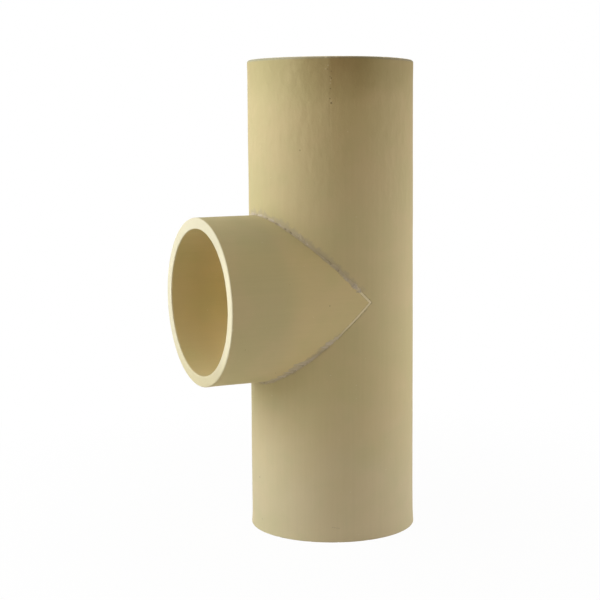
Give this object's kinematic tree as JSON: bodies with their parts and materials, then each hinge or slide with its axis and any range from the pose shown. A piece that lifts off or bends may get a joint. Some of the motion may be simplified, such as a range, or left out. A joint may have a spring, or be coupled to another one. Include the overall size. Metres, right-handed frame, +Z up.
{
  "type": "chimney flue liner tee",
  "caption": "Round fireclay chimney flue liner tee: an upright pipe with an equal side branch, mitred in a V and bonded with cement, for joining an appliance to a flue.",
  "frame": {"origin": "centre of the upright pipe's foot, on the plane it stands on", "axes": "+Z up along the upright pipe, -X along the side branch and out of its mouth"},
  "size_m": [0.3189, 0.232, 0.655],
  "materials": {
    "fired_clay": "unglazed fired fireclay, buff, matt",
    "joint_cement": "grey-mauve fire cement, rough and matt"
  },
  "bodies": {
    "root": {"flue_pipe": "fired_clay", "branch_pipe": "fired_clay", "cement_joint": "joint_cement"}
  },
  "joints": []
}
